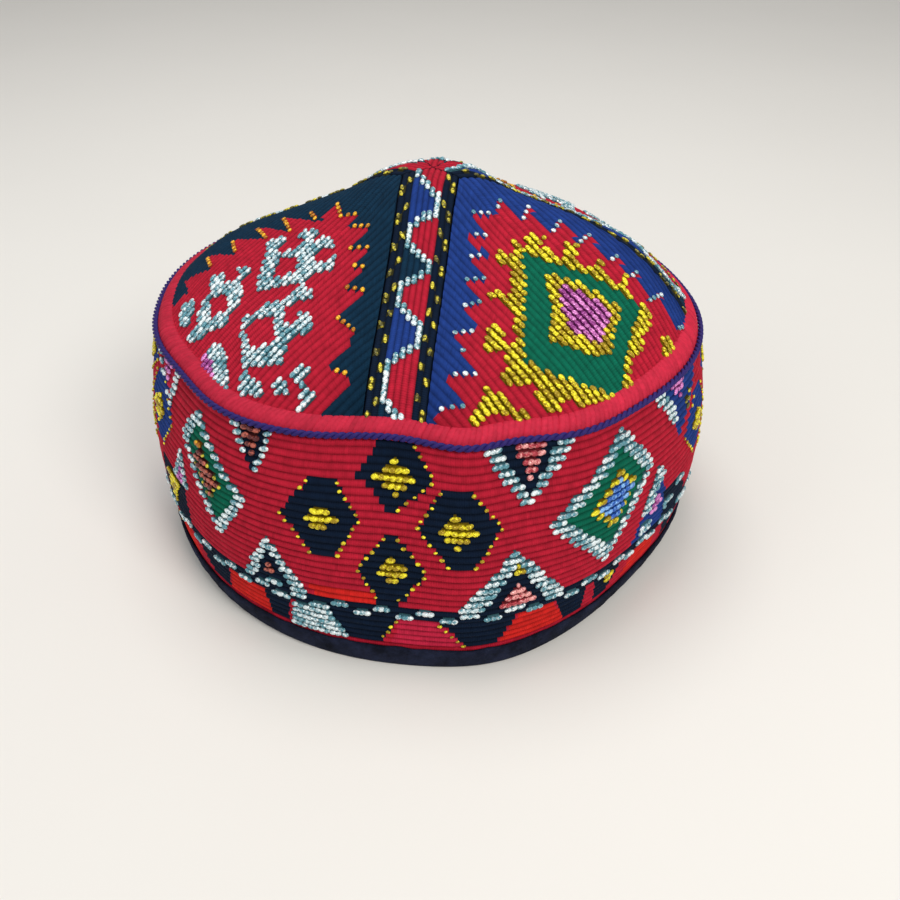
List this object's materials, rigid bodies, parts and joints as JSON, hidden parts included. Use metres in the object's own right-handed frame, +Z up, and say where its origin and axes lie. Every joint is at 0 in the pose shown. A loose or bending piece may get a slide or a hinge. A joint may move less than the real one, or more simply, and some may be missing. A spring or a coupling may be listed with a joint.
{
  "type": "tubeteika skullcap",
  "caption": "Stiff embroidered skullcap with a pointed crown, an upright side band and a cloth-bound rim, which sits on the head or stands on its rim.",
  "frame": {"origin": "centre of the cap's outline seen from above, on the surface that its rim stands on", "axes": "+Z up through the crown, -Y towards the front, where a crown strip runs down to the band, +X to the right as seen from the front"},
  "size_m": [0.1936, 0.1944, 0.1166],
  "materials": {
    "crimson_embroidery": "cotton and silk thread wrapped over cords in fine ribs",
    "navy_embroidery": "cotton and silk thread wrapped over cords in fine ribs",
    "dark_teal_embroidery": "cotton and silk thread wrapped over cords in fine ribs",
    "vermilion_overcasting": "thick thread overcast side by side round a roll",
    "purple_cord": "plied cotton cord",
    "black_cloth_binding": "matt brushed cotton"
  },
  "bodies": {
    "root": {"gore_front_left": "dark_teal_embroidery", "gore_front_right": "navy_embroidery", "gore_back_right": "dark_teal_embroidery", "gore_back_left": "navy_embroidery", "strip_front": "navy_embroidery", "strip_right": "navy_embroidery", "strip_back": "navy_embroidery", "strip_left": "navy_embroidery", "side_band": "crimson_embroidery", "edge_roll": "vermilion_overcasting", "seam_cord": "purple_cord", "rim_binding": "black_cloth_binding"}
  },
  "joints": []
}
